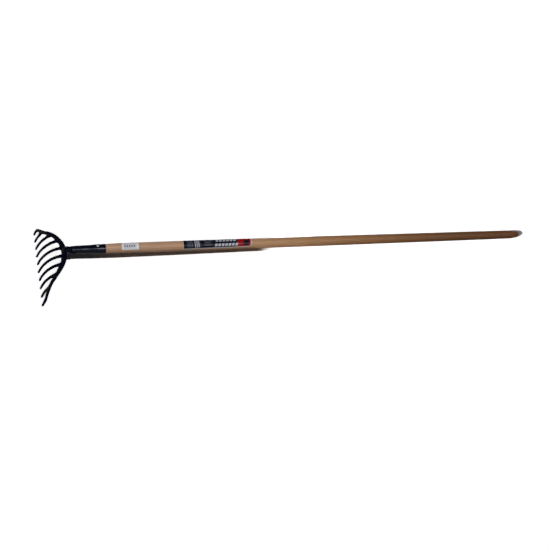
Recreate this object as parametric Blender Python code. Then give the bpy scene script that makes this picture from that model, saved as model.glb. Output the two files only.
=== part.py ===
"""A long-handled garden rake: a pressed steel head with ten curved tines, a steel socket and a turned handle.

Metres, +Z up. The rake lies as it is put down, on its tine tips and on the butt of its handle.
+X runs from the tines to the butt, Y runs across the head, and the head is the same on both sides of Y = 0.
Run it with blender --background --python part.py, or from Blender's text editor.
"""

import math

import bmesh
import bpy
import numpy as np

# Tines, as cut in the flat plate
TINE_COUNT = 10
TINE_PITCH = 0.046
TINE_ROOT_WIDTH = 0.0088
TINE_TIP_WIDTH = 0.0060
TINE_TRIM = 0.0060
ROOT_FILLET = 0.0080
OUTER_ROOT_FILLET = 0.014
SHOULDER_FILLET = 0.011

# Bow, as cut in the flat plate: distances run from the line of the tine tips
BOW_REACH = 0.1037
BOW_RADIUS = 0.245
BOW_ARC_HALF = 0.155
BOW_END_SLOPE = 0.50
BOW_END_BLEND = 0.045
BOW_MID_WIDTH = 0.0160
BOW_END_WIDTH = 0.0082
BOW_WIDTH_POWER = 0.8

# Plate and the curve that it is pressed to
PLATE = 0.0060
TIP_PLATE = 0.0047
PLATE_TAPER = 0.070
EDGE_ROUND = 0.0016
FORM_RADIUS = 0.080
TIP_LEAN = math.radians(67.7)

# Neck, which runs from the bow into the socket. Its root, in rows: distance behind the bow's outer edge,
# height over the middle of the plate, width, thickness
NECK_DIAMETER = 0.0185
NECK_LENGTH = 0.0168
NECK_ROOT = (
    (-0.0135, 0.0000, 0.0300, 0.0036),
    (-0.0105, 0.0012, 0.0285, 0.0070),
    (-0.0065, 0.0048, 0.0268, 0.0150),
    (0.0000, 0.0066, 0.0240, 0.0186),
    (0.0040, 0.0062, 0.0200, 0.0188),
)
NECK_ROUND_FROM = 0.0085
NECK_HEIGHT = 0.0058
TANG_LENGTH = 0.012

# Socket: its front end stands over the middle of the plate, and distances along the handle's axis run from it.
# Its nose is wider than the neck by the second number of each row, and the rows of its shape are diameters
SOCKET_RISE = 0.0048
SOCKET_WALL = 0.0016
SOCKET_NOSE = (
    (0.0, 0.0031),
    (0.0030, 0.0042),
    (0.0080, 0.0047),
)
SOCKET_SHAPE = (
    (0.0500, 0.0255),
    (0.0640, 0.0268),
    (0.0943, 0.0283),
)
MOUTH_ROUND = 0.0005

# Weld between the neck and the socket
WELD_LENGTH = 0.0052
WELD_HEIGHT = 0.0013
WELD_SAG = 0.0022
WELD_RIPPLE = 0.0002
WELD_RIPPLES = 14
WELD_FULLNESS = 0.7

# Rivet through the socket and the handle
RIVET_PLACE = 0.0715
RIVET_SHANK = 0.0045
RIVET_HEAD = 0.0074
RIVET_HEAD_HEIGHT = 0.0018
RIVET_EDGE = math.radians(72)
RIVET_TURN = math.radians(17)

# Handle, measured from its tapered end
HANDLE_LENGTH = 1.372
HANDLE_START = 0.015
BUTT_LENGTH = 0.036
BUTT_DIAMETER = 0.0250
BUTT_FULLNESS = 0.8
SWELL_LENGTH = 0.100
HANDLE_SHAPE = (
    (0.0000, 0.0281),
    (0.0330, 0.0297),
    (0.1200, 0.0306),
    (0.2100, 0.0307),
    (0.4200, 0.0300),
    (0.6800, 0.0291),
    (0.9200, 0.0276),
    (1.1200, 0.0264),
)

# Labels: distances from the socket's mouth, angles round the axis from -Y towards +Z
LABEL_THICKNESS = 0.0003
PRICE_LABEL_START = 0.0463
PRICE_LABEL_LENGTH = 0.049
PRICE_LABEL_ARC = (math.radians(8), math.radians(100))
HANDLE_LABEL_START = 0.2257
HANDLE_LABEL_LENGTH = 0.2065
HANDLE_LABEL_ARC = (math.radians(0), math.radians(180))

# Clearance between pieces that touch
FIT = 0.0003

# Fineness of the meshes
BEND_STEP = 0.0055
BOW_STEPS = 40
FILLET_STEP = math.radians(18)
EDGE_STEPS = 2
ROUND_SIDES = 32
NECK_SIDES = 24
RIVET_SIDES = 24
SHANK_SIDES = 16
FORM_SIDES = 96
DOME_STEPS = 5
SWELL_STEPS = 6
HANDLE_STEPS = 16
BUTT_STEPS = 7
WELD_STEPS = 5
LABEL_STEP = math.radians(9)
LABEL_SPAN = 0.02
SHARP_ANGLE = math.radians(40)
MERGE = 1e-6


def clear_scene():
    for obj in list(bpy.data.objects):
        bpy.data.objects.remove(obj, do_unlink=True)


def make_material(name, colour, roughness, metallic):
    material = bpy.data.materials.new(name)
    material.use_nodes = True
    shader = material.node_tree.nodes["Principled BSDF"]
    shader.inputs["Base Color"].default_value = (*colour, 1.0)
    shader.inputs["Roughness"].default_value = roughness
    shader.inputs["Metallic"].default_value = metallic
    material.diffuse_color = (*colour, 1.0)
    return material


def make_empty(name, parent=None):
    empty = bpy.data.objects.new(name, None)
    bpy.context.scene.collection.objects.link(empty)
    empty.parent = parent
    return empty


def make_object(name, bm, parent, material=None):
    """Puts a bmesh into a new object, smooth where its faces meet at a shallow angle."""
    mesh = bpy.data.meshes.new(name)
    bm.to_mesh(mesh)
    bm.free()
    mesh.shade_smooth()
    mesh.set_sharp_from_angle(angle=SHARP_ANGLE)
    obj = bpy.data.objects.new(name, mesh)
    bpy.context.scene.collection.objects.link(obj)
    obj.parent = parent
    if material:
        mesh.materials.append(material)
    return obj


def make_cutter(name, bm, parent):
    cutter = make_object(name, bm, parent)
    cutter.hide_render = True
    cutter.display_type = "WIRE"
    return cutter


def add_boolean(obj, other, operation):
    boolean = obj.modifiers.new(other.name, "BOOLEAN")
    boolean.operation = operation
    boolean.solver = "EXACT"
    boolean.object = other


def surface_of_rings(rings, closed_along=False):
    """A closed skin over closed rings of points. The end rings are capped unless they meet."""
    bm = bmesh.new()
    grid = [[bm.verts.new(point) for point in ring] for ring in rings]
    pairs = list(zip(grid, grid[1:]))
    if closed_along:
        pairs.append((grid[-1], grid[0]))
    for ring, following in pairs:
        for i in range(len(ring)):
            j = (i + 1) % len(ring)
            bm.faces.new((ring[i], ring[j], following[j], following[i]))
    if not closed_along:
        bm.faces.new(grid[0])
        bm.faces.new(grid[-1])
    bmesh.ops.recalc_face_normals(bm, faces=bm.faces)
    return bm


def turned(profile, sides=ROUND_SIDES):
    """A profile of (distance, radius) points turned about +X, closed on itself if it ends off the axis."""
    bm = bmesh.new()
    outline = [bm.verts.new((along, radius, 0.0)) for along, radius in profile]
    edges = [bm.edges.new(pair) for pair in zip(outline, outline[1:])]
    if profile[0][1] > 0:
        edges.append(bm.edges.new((outline[-1], outline[0])))
    bmesh.ops.spin(
        bm,
        geom=outline + edges,
        cent=(0, 0, 0),
        axis=(1, 0, 0),
        angle=2 * math.pi,
        steps=sides,
        use_merge=True,
    )
    bmesh.ops.remove_doubles(bm, verts=bm.verts, dist=MERGE)
    bmesh.ops.recalc_face_normals(bm, faces=bm.faces)
    return bm


def smooth_curve(stations, at):
    """A smooth curve through (distance, value) stations, read at the distances given."""
    x, y = np.array(stations).T
    slope = np.gradient(y, x)
    at = np.asarray(at, float)
    i = np.clip(np.searchsorted(x, at) - 1, 0, len(x) - 2)
    span = x[i + 1] - x[i]
    t = (at - x[i]) / span
    start = (1 + 2 * t) * (1 - t) ** 2 * y[i] + t * (1 - t) ** 2 * span * slope[i]
    end = t**2 * (3 - 2 * t) * y[i + 1] + t**2 * (t - 1) * span * slope[i + 1]
    return start + end


def socket_stations():
    """The socket's (distance, radius) rows: the nose goes with the neck, and the rest has its own size."""
    nose = [(along, (NECK_DIAMETER + wider) / 2) for along, wider in SOCKET_NOSE]
    return nose + [(along, diameter / 2) for along, diameter in SOCKET_SHAPE]


def socket_radius(along):
    """Outer radius of the socket at a distance from its front end."""
    distance, radius = np.array(socket_stations()).T
    return np.interp(along, distance, radius)


def socket_length():
    return SOCKET_SHAPE[-1][0]


def handle_end():
    return HANDLE_START + HANDLE_LENGTH


def grip_radius(along):
    """Radius of the handle behind the socket, where along is the distance from the socket's front end."""
    body_end = handle_end() - BUTT_LENGTH - socket_length()
    stations = [(place, size) for place, size in HANDLE_SHAPE if place < body_end]
    stations.append((body_end, BUTT_DIAMETER))
    return smooth_curve(stations, np.asarray(along) - socket_length()) / 2


def handle_profile():
    """The turned handle from the middle of its tapered end to the middle of its butt."""
    mouth = socket_length()
    seated = [HANDLE_START] + [place for place, _ in SOCKET_SHAPE if HANDLE_START < place < mouth]
    profile = [(HANDLE_START, 0.0)]
    profile += [(along, float(socket_radius(along)) - SOCKET_WALL - FIT) for along in seated]
    shoulder = mouth + FIT
    profile.append((shoulder, float(socket_radius(mouth)) - SOCKET_WALL - FIT))
    body_end = handle_end() - BUTT_LENGTH
    swell = np.linspace(shoulder, shoulder + SWELL_LENGTH, SWELL_STEPS + 1)
    body = np.linspace(shoulder + SWELL_LENGTH, body_end, HANDLE_STEPS + 1)[1:]
    profile += [(float(along), float(grip_radius(along))) for along in (*swell, *body)]
    for turn in np.linspace(0, math.pi / 2, BUTT_STEPS + 1)[1:-1]:
        radius = BUTT_DIAMETER / 2 * math.cos(turn) ** BUTT_FULLNESS
        profile.append((body_end + BUTT_LENGTH * math.sin(turn), radius))
    profile.append((handle_end(), 0.0))
    return profile


def bow_edge():
    """Where the middle of the bow's outer edge lies after pressing, and the height of the former's top."""
    lean = TIP_LEAN - BOW_REACH / FORM_RADIUS
    return FORM_RADIUS * (math.sin(TIP_LEAN) - math.sin(lean)), FORM_RADIUS * (1 - math.cos(TIP_LEAN))


def socket_front():
    """The middle of the socket's front end, from the line of the tips and from the floor."""
    edge_x, top = bow_edge()
    return edge_x + NECK_LENGTH, top + SOCKET_RISE


def handle_tilt():
    """The angle at which the handle falls from the socket until its profile meets the floor."""
    height = socket_front()[1]
    angles = [
        math.asin(height / math.hypot(along, radius)) - math.atan2(radius, along)
        for along, radius in handle_profile()
        if along > handle_end() / 2
    ]
    return min(angles)


def tine_places():
    return [(i - (TINE_COUNT - 1) / 2) * TINE_PITCH for i in range(TINE_COUNT)]


def bow_outer(y):
    """Reach of the bow's outer edge from the line of the tips: an arc, then a straight end."""
    y = abs(y)
    arc_y = min(y, BOW_ARC_HALF)
    reach = BOW_REACH - BOW_RADIUS + math.sqrt(BOW_RADIUS**2 - arc_y**2)
    return reach - BOW_END_SLOPE * (y - arc_y)


def bow_inner(y):
    """Reach of the bow's inner edge, one bow width inside the outer edge and square to it."""
    end = tine_places()[-1]
    width = BOW_MID_WIDTH + (BOW_END_WIDTH - BOW_MID_WIDTH) * (abs(y) / end) ** BOW_WIDTH_POWER
    arc_slope = abs(y) / math.sqrt(BOW_RADIUS**2 - y**2) if abs(y) < BOW_ARC_HALF else BOW_END_SLOPE
    return bow_outer(y) - width * math.hypot(1, arc_slope)


def plate_corners():
    """Corners of the flat plate as (reach, y, fillet radius): round the tines, then back along the bow."""
    root = TINE_ROOT_WIDTH / 2
    tip = TINE_TIP_WIDTH / 2
    places = tine_places()
    corners = []
    for y in places:
        corners += [
            (bow_inner(y - root), y - root, ROOT_FILLET),
            (-TINE_TRIM, y - tip, 0.0),
            (-TINE_TRIM, y + tip, 0.0),
            (bow_inner(y + root), y + root, ROOT_FILLET),
        ]
    # The outermost tines carry on from the ends of the bow
    for outer, inner, y in ((0, 3, places[0] - root), (-1, -4, places[-1] + root)):
        corners[outer] = (bow_outer(y), y, SHOULDER_FILLET)
        corners[inner] = (*corners[inner][:2], OUTER_ROOT_FILLET)
    for k in range(BOW_STEPS + 1):
        y = BOW_ARC_HALF * (1 - 2 * k / BOW_STEPS)
        blend = BOW_END_BLEND if k in (0, BOW_STEPS) else 0.0
        corners.append((bow_outer(y), y, blend))
    return corners


def filleted(corners):
    """The closed outline through the corners, with an arc of each corner's radius in place of the corner."""
    points = []
    for i, (s, y, radius) in enumerate(corners):
        here = np.array((s, y))
        if not radius:
            points.append(here)
            continue
        back = np.array(corners[i - 1][:2]) - here
        ahead = np.array(corners[(i + 1) % len(corners)][:2]) - here
        back /= np.linalg.norm(back)
        ahead /= np.linalg.norm(ahead)
        half = math.acos(float(back @ ahead)) / 2
        bisector = (back + ahead) / np.linalg.norm(back + ahead)
        centre = here + bisector * radius / math.sin(half)
        start = here + back * radius / math.tan(half) - centre
        turn = math.pi - 2 * half
        way = 1.0 if start[0] * bisector[1] - start[1] * bisector[0] < 0 else -1.0
        steps = max(2, round(turn / FILLET_STEP))
        for k in range(steps + 1):
            angle = way * turn * k / steps
            c, n = math.cos(angle), math.sin(angle)
            points.append(centre + (c * start[0] - n * start[1], n * start[0] + c * start[1]))
    return np.array(points)


def inset(points, distance):
    """The outline moved inwards by a distance: each point goes along the mean normal of its two edges."""
    before = points - np.roll(points, 1, axis=0)
    after = np.roll(points, -1, axis=0) - points
    before /= np.linalg.norm(before, axis=1)[:, None]
    after /= np.linalg.norm(after, axis=1)[:, None]
    mean = before + after
    mean /= np.linalg.norm(mean, axis=1)[:, None]
    normal = np.stack([-mean[:, 1], mean[:, 0]], axis=1)
    squareness = (mean * after).sum(axis=1)
    return points + normal * distance / squareness[:, None]


def flat_plate():
    """The plate as cut, with rounded edges: X is the reach from the tips and Z the thickness."""
    outline = filleted(plate_corners())
    following = np.roll(outline, -1, axis=0)
    twice_area = np.sum(outline[:, 0] * following[:, 1] - outline[:, 1] * following[:, 0])
    if twice_area < 0:
        outline = outline[::-1]
    rings = []
    for side in (-1, 1):
        levels = []
        for turn in np.linspace(0, math.pi / 2, EDGE_STEPS + 1):
            edge = inset(outline, EDGE_ROUND * (1 - math.sin(turn)))
            height = side * (PLATE / 2 - EDGE_ROUND * (1 - math.cos(turn)))
            levels.append([(reach, y, height) for reach, y in edge])
        rings += levels if side < 0 else levels[::-1]
    return surface_of_rings(rings)


def cut_across(bm, place, normal, clear_below=False):
    """Cuts a mesh along a plane, and takes away what lies below it if asked to."""
    return bmesh.ops.bisect_plane(
        bm,
        geom=bm.verts[:] + bm.edges[:] + bm.faces[:],
        dist=MERGE / 10,
        plane_co=place,
        plane_no=normal,
        clear_inner=clear_below,
    )


def press(bm):
    """Cuts the plate across at every bend step, wraps it over the former and thins it towards the tips."""
    for place in np.arange(BEND_STEP - TINE_TRIM, BOW_REACH, BEND_STEP):
        cut_across(bm, (place, 0, 0), (1, 0, 0))
    centre_x = FORM_RADIUS * math.sin(TIP_LEAN)
    centre_z = -FORM_RADIUS * math.cos(TIP_LEAN)
    for vert in bm.verts:
        reach, y, height = vert.co
        share = min(max(reach / PLATE_TAPER, 0.0), 1.0)
        height *= (TIP_PLATE + (PLATE - TIP_PLATE) * share) / PLATE
        lean = TIP_LEAN - reach / FORM_RADIUS
        radius = FORM_RADIUS + height
        vert.co = (centre_x - radius * math.sin(lean), y, centre_z + radius * math.cos(lean))


def grind_tips(bm):
    """Takes off what reaches below the floor, which leaves a flat on each tine tip."""
    cut = cut_across(bm, (0, 0, 0), (0, 0, 1), clear_below=True)
    edges = [item for item in cut["geom_cut"] if isinstance(item, bmesh.types.BMEdge)]
    bmesh.ops.edgeloop_fill(bm, edges=edges)
    bmesh.ops.recalc_face_normals(bm, faces=bm.faces)


def neck_bar():
    """The neck from the bow's top, where it is wide and low, to the round tang inside the socket."""
    edge_x, top = bow_edge()
    front_x, front_z = socket_front()
    tilt = handle_tilt()
    root = (*NECK_ROOT, (NECK_ROUND_FROM, NECK_HEIGHT, NECK_DIAMETER, NECK_DIAMETER))
    sections = [(edge_x + behind, top + over, width, thick, 0.0) for behind, over, width, thick in root]
    for along in (-WELD_LENGTH, 0.0, TANG_LENGTH):
        x = front_x + along * math.cos(tilt)
        z = front_z - along * math.sin(tilt)
        sections.append((x, z, NECK_DIAMETER, NECK_DIAMETER, tilt))
    turns = np.arange(NECK_SIDES) * 2 * math.pi / NECK_SIDES
    rings = []
    for x, z, width, thick, lean in sections:
        across = np.cos(turns) * width / 2
        up = np.sin(turns) * thick / 2
        rings.append([(x + u * math.sin(lean), a, z + u * math.cos(lean)) for a, u in zip(across, up)])
    return surface_of_rings(rings)


def make_head(frame, steel):
    plate = flat_plate()
    press(plate)
    grind_tips(plate)
    head = make_object("tine_head", plate, frame, steel)
    neck = make_cutter("neck_bar", neck_bar(), frame)
    add_boolean(head, neck, "UNION")


def place_rivet(obj):
    """Stands a piece made along +X across the handle's axis, turned from the top towards -Y."""
    obj.rotation_mode = "YXZ"
    obj.rotation_euler = (RIVET_TURN, -math.pi / 2, 0)
    obj.location = (RIVET_PLACE, 0, 0)


def make_pin(name, axis, half_length, radius):
    """A cutter in the shape of a pin on the rivet's axis."""
    profile = [(-half_length, 0.0), (-half_length, radius), (half_length, radius), (half_length, 0.0)]
    pin = make_cutter(name, turned(profile, SHANK_SIDES), axis)
    place_rivet(pin)
    return pin


def make_hole(name, axis):
    """A pin that clears the rivet's shank by the fit and is longer than any piece is wide."""
    return make_pin(name, axis, SOCKET_SHAPE[-1][1], RIVET_SHANK / 2 + FIT)


def make_socket(axis, steel):
    """The socket is a tube drawn down over the neck: its front opening clears the neck by the fit."""
    outer = socket_stations()
    length = socket_length()
    mouth = outer[-1][1]
    bore = NECK_DIAMETER / 2 + FIT
    profile = outer[:-1]
    profile += [(length - MOUTH_ROUND, mouth), (length, mouth - MOUTH_ROUND), (length, mouth - SOCKET_WALL)]
    for along, radius in reversed(outer[2:-1]):
        profile.append((along, radius - SOCKET_WALL))
    profile += [(outer[1][0], bore), (0.0, bore)]
    socket = make_object("socket", turned(profile), axis, steel)
    add_boolean(socket, make_hole("socket_hole", axis), "DIFFERENCE")


def make_weld(axis, steel):
    """A bead round the neck against the socket's front end, rippled, and thicker below where it sagged."""
    inner = NECK_DIAMETER / 2 + FIT
    rings = []
    for turn in np.arange(3 * WELD_RIPPLES) * 2 * math.pi / (3 * WELD_RIPPLES):
        below = (1 - math.sin(turn)) / 2
        height = WELD_HEIGHT + WELD_SAG * below**2 + WELD_RIPPLE * math.cos(WELD_RIPPLES * turn)
        section = [(-FIT, inner)]
        for rise in np.linspace(0, math.pi / 2, WELD_STEPS + 1):
            along = -WELD_LENGTH + (WELD_LENGTH - FIT) * math.sin(rise)
            section.append((along, inner + height * math.sin(rise) ** WELD_FULLNESS))
        rings.append([(along, r * math.cos(turn), r * math.sin(turn)) for along, r in section])
    make_object("neck_weld", surface_of_rings(rings, closed_along=True), axis, steel)


def make_rivet(axis, steel):
    """A rivet with its heads formed down on the socket, which cuts them to its shape, and a shank."""
    seat = float(socket_radius(RIVET_PLACE))
    top = seat + FIT + RIVET_HEAD_HEIGHT
    under = seat - RIVET_HEAD_HEIGHT
    blank = []
    for angle in np.linspace(0, RIVET_EDGE, DOME_STEPS + 1):
        drop = RIVET_HEAD_HEIGHT * (1 - math.cos(angle))
        blank.append((top - drop, RIVET_HEAD / 2 * math.sin(angle) / math.sin(RIVET_EDGE)))
    blank += [(under, RIVET_HEAD / 2), (under, 0.0)]
    heads = turned(blank, RIVET_SIDES)
    other = turned([(-along, radius) for along, radius in blank], RIVET_SIDES)
    mesh = bpy.data.meshes.new("other_head")
    other.to_mesh(mesh)
    other.free()
    heads.from_mesh(mesh)
    bpy.data.meshes.remove(mesh)
    rivet = make_object("rivet", heads, axis, steel)
    place_rivet(rivet)
    ends = (RIVET_PLACE - RIVET_HEAD, RIVET_PLACE + RIVET_HEAD)
    seats = [(along, float(socket_radius(along)) + FIT) for along in ends]
    form = turned([(ends[0], 0.0), *seats, (ends[1], 0.0)], FORM_SIDES)
    add_boolean(rivet, make_cutter("rivet_form", form, axis), "DIFFERENCE")
    shank = make_pin("rivet_shank", axis, seat + RIVET_HEAD_HEIGHT / 2, RIVET_SHANK / 2)
    add_boolean(rivet, shank, "UNION")


def make_handle(axis, wood):
    handle = make_object("handle", turned(handle_profile()), axis, wood)
    add_boolean(handle, make_hole("handle_hole", axis), "DIFFERENCE")


def make_label(name, axis, material, start, length, arc):
    """A thin skin wrapped on the handle between two angles, with the fit under it."""
    places = socket_length() + start + np.linspace(0, length, round(length / LABEL_SPAN) + 1)
    turns = np.linspace(*arc, round((arc[1] - arc[0]) / LABEL_STEP) + 1)
    rings = []
    for along in places:
        inner = float(grip_radius(along)) + FIT
        under = [(along, -inner * math.cos(t), inner * math.sin(t)) for t in turns]
        outer = inner + LABEL_THICKNESS
        over = [(along, -outer * math.cos(t), outer * math.sin(t)) for t in turns[::-1]]
        rings.append(under + over)
    make_object(name, surface_of_rings(rings), axis, material)


def main():
    clear_scene()
    paint = make_material("black_paint", (0.010, 0.012, 0.018), 0.32, 0.0)
    bright = make_material("bright_steel", (0.62, 0.62, 0.63), 0.30, 1.0)
    wood = make_material("hardwood", (0.34, 0.20, 0.115), 0.55, 0.0)
    white = make_material("white_paper", (0.62, 0.62, 0.64), 0.60, 0.0)
    navy = make_material("navy_paper", (0.020, 0.022, 0.035), 0.40, 0.0)

    tilt = handle_tilt()
    front_x, front_z = socket_front()
    centre_x = FORM_RADIUS * math.sin(TIP_LEAN)
    tip_radius = FORM_RADIUS + TIP_PLATE / 2
    foremost = centre_x - math.sqrt(tip_radius**2 - (FORM_RADIUS * math.cos(TIP_LEAN)) ** 2)
    rearmost = front_x + handle_end() * math.cos(tilt)
    frame = make_empty("rake")
    frame.location.x = -(foremost + rearmost) / 2
    axis = make_empty("handle_axis", frame)
    axis.location = (front_x, 0, front_z)
    axis.rotation_euler.y = tilt

    make_head(frame, paint)
    make_socket(axis, paint)
    make_weld(axis, paint)
    make_rivet(axis, bright)
    make_handle(axis, wood)
    make_label("price_label", axis, white, PRICE_LABEL_START, PRICE_LABEL_LENGTH, PRICE_LABEL_ARC)
    make_label("handle_label", axis, navy, HANDLE_LABEL_START, HANDLE_LABEL_LENGTH, HANDLE_LABEL_ARC)
    print("handle falls at", round(math.degrees(tilt), 3), "degrees; length", round(rearmost - foremost, 4))


main()
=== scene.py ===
# %% [markdown]
# # A long-handled garden rake
# The rake lies on a pale studio floor, on its tine tips and on the butt of its handle. Its solids come from
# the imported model, which is the frame: every piece here stands exactly where one of those solids stands. The
# camera and the lights come first, then the pieces from the steel head to the labels. Lengths are in metres,
# +X runs from the tines to the butt and +Z is up.

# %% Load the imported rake
import math

import bmesh
import bpy
import numpy as np
from mathutils import Matrix, Vector


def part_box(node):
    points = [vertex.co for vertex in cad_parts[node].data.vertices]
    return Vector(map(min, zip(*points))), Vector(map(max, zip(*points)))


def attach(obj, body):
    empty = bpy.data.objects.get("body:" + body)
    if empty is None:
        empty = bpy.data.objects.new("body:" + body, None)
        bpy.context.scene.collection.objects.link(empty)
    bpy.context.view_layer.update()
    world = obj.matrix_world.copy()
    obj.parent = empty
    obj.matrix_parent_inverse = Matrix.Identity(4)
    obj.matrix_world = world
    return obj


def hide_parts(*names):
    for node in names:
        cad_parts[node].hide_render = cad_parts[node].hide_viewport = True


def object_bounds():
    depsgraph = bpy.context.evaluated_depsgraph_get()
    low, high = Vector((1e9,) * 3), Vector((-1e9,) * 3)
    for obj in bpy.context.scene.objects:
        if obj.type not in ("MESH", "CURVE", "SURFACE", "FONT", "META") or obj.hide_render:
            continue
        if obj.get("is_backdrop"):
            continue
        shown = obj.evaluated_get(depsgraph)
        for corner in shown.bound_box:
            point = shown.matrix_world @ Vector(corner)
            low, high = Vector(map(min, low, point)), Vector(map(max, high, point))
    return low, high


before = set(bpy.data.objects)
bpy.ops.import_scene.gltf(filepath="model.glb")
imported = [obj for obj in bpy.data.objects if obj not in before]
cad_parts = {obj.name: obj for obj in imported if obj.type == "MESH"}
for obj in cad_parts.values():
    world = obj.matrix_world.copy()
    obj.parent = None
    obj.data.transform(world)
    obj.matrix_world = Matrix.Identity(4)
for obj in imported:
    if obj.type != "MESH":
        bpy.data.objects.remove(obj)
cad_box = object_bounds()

print("solids:", sorted(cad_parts))

# %% [markdown]
# ## The camera
# A photograph fixes its camera once the tine tips are known to stand on one straight line on the floor. It
# could be turned by hand until the outlines agree. Here its place and its turns are written down as they were
# solved: a yaw round the vertical, a pitch down and a slight roll. The lens follows from the focal length in
# pixels and the width of the sensor.

# %% The camera
PICTURE_SIDE = 550
FOCAL_PIXELS = 1216.657
SENSOR_WIDTH = 36.0
CAMERA_PLACE = Vector((-0.8449, -3.1041, 1.7752))
CAMERA_YAW = 0.2550104
CAMERA_PITCH = 0.5235113
CAMERA_ROLL = 0.0605429


def add_object(name, data):
    """A new object in the scene, with that data."""
    made = bpy.data.objects.new(name, data)
    bpy.context.scene.collection.objects.link(made)
    return made


def camera_axes():
    """Right, up and backward. Yaw and pitch turn the camera forward, then the roll turns right and up."""
    level = Vector((math.sin(CAMERA_YAW), math.cos(CAMERA_YAW), 0.0))
    forward = level * math.cos(CAMERA_PITCH) - Vector((0.0, 0.0, math.sin(CAMERA_PITCH)))
    right = Vector((math.cos(CAMERA_YAW), -math.sin(CAMERA_YAW), 0.0))
    up = right.cross(forward)
    rolled_right = right * math.cos(CAMERA_ROLL) + up * math.sin(CAMERA_ROLL)
    rolled_up = up * math.cos(CAMERA_ROLL) - right * math.sin(CAMERA_ROLL)
    return rolled_right, rolled_up, -forward


camera_data = bpy.data.cameras.new("camera")
camera_data.sensor_width = SENSOR_WIDTH
camera_data.lens = FOCAL_PIXELS / PICTURE_SIDE * SENSOR_WIDTH
camera = add_object("camera", camera_data)
camera.matrix_world = Matrix.Translation(CAMERA_PLACE) @ Matrix(camera_axes()).transposed().to_4x4()
bpy.context.scene.camera = camera
bpy.context.scene.view_settings.view_transform = "Standard"
print("lens", round(camera_data.lens, 2), "mm")

# %% [markdown]
# ## Writing materials
# A material is a small graph of nodes. It could be clicked together in the Shader Editor. Written as code, a
# few short helpers are enough: they add a node and feed its inputs, do arithmetic, mix two colours by a mask,
# read a noise and turn a height into a bump.


# %% Helpers for nodes and values
def feed(tree, node, inputs):
    """Gives a node its inputs: a dict of name or number to a value, or to an output that is linked."""
    for name, value in inputs.items():
        if isinstance(value, bpy.types.NodeSocket):
            tree.links.new(value, node.inputs[name])
        else:
            node.inputs[name].default_value = value


def add_node(tree, kind, inputs=None, **settings):
    """A node of that kind, with its settings and its inputs."""
    made = tree.nodes.new(kind)
    for name, value in settings.items():
        setattr(made, name, value)
    feed(tree, made, inputs or {})
    return made


def calc(tree, operation, *values, clamp=False):
    """The output of a Math node, such as calc(tree, "ADD", a, 0.5). Over two values are joined one by one."""
    if len(values) > 2:
        values = calc(tree, operation, *values[:-1]), values[-1]
    made = add_node(tree, "ShaderNodeMath", dict(enumerate(values)), operation=operation, use_clamp=clamp)
    return made.outputs[0]


def mixed(tree, mask, low, high):
    """Colour that runs from low to high as the mask runs from 0 to 1."""
    inputs = {0: mask, 6: low, 7: high}
    return add_node(tree, "ShaderNodeMix", inputs, data_type="RGBA", clamp_factor=True).outputs[2]


def spread(tree, value, low, high, to_low=0.0, to_high=1.0, smooth=False):
    """The value carried from the range low to high over to another range, and held at the ends."""
    inputs = {"Value": value, "From Min": low, "From Max": high, "To Min": to_low, "To Max": to_high}
    kind = "SMOOTHSTEP" if smooth else "LINEAR"
    made = add_node(tree, "ShaderNodeMapRange", inputs, interpolation_type=kind, clamp=True)
    return made.outputs["Result"]


def times(tree, vector, by):
    """A place or a colour, multiplied by three numbers or by one value."""
    return add_node(tree, "ShaderNodeVectorMath", {0: vector, 1: by}, operation="MULTIPLY").outputs[0]


def colour(red, green, blue):
    return (red, green, blue, 1.0)


print("helpers for nodes and values ready")


# %% Helpers for materials, groups and patterns
def new_material(name):
    """A material with its Principled shader, and the tree that they stand in."""
    made = bpy.data.materials.new(name)
    made.use_nodes = True
    return made, made.node_tree, made.node_tree.nodes["Principled BSDF"]


def new_group(name, outputs, **inputs):
    """An empty node group that puts out values. An input given as None is a vector, and any other a value."""
    tree = bpy.data.node_groups.new(name, "ShaderNodeTree")
    for label, value in inputs.items():
        kind = "NodeSocketVector" if value is None else "NodeSocketFloat"
        made = tree.interface.new_socket(name=label.replace("_", " "), in_out="INPUT", socket_type=kind)
        if value is not None:
            made.default_value = value
    for label in outputs:
        tree.interface.new_socket(name=label, in_out="OUTPUT", socket_type="NodeSocketFloat")
    return tree, tree.nodes.new("NodeGroupInput").outputs, tree.nodes.new("NodeGroupOutput")


def use_group(tree, group, **inputs):
    """The outputs of a group placed in a tree. An input called Ring_Width sets the socket Ring Width."""
    named = {name.replace("_", " "): value for name, value in inputs.items()}
    return add_node(tree, "ShaderNodeGroup", named, node_tree=group).outputs


def object_place(tree, turn=(0.0, 0.0, 0.0), shift=(0.0, 0.0, 0.0)):
    """The point of the piece in metres, turned and then shifted by a Mapping node."""
    place = add_node(tree, "ShaderNodeTexCoord").outputs["Object"]
    made = add_node(tree, "ShaderNodeMapping", {"Vector": place, "Rotation": turn, "Location": shift})
    return made.outputs[0]


def noise(tree, place, scale, detail=2.0, roughness=0.5):
    """Cloudy values round 0.5. The scale is how many clouds fit in a metre."""
    inputs = {"Vector": place, "Scale": scale, "Detail": detail, "Roughness": roughness}
    return add_node(tree, "ShaderNodeTexNoise", inputs).outputs[0]


def swing(tree, value, amount):
    """How far a noise is from its middle, times the amount."""
    return calc(tree, "MULTIPLY", calc(tree, "SUBTRACT", value, 0.5), amount)


def bumped(tree, height, strength, distance):
    """The normal of a surface whose height rises and falls by up to the distance."""
    inputs = {"Height": height, "Strength": strength, "Distance": distance}
    return add_node(tree, "ShaderNodeBump", inputs).outputs[0]


print("helpers for materials and groups ready")

# %% [markdown]
# ## Floor and sky
# The rake lies on pure white. White paper under strong lamps would do, but their light would also fall on the
# rake. Here the floor is a plain grey, which throws some light back up on the undersides, and its colour is
# lifted for the camera alone. The sky is nearly dark, so that the lamps decide the shading. Only the camera
# and low mirror rays see it white, because a studio's walls show as a bright line in enamel.

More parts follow.
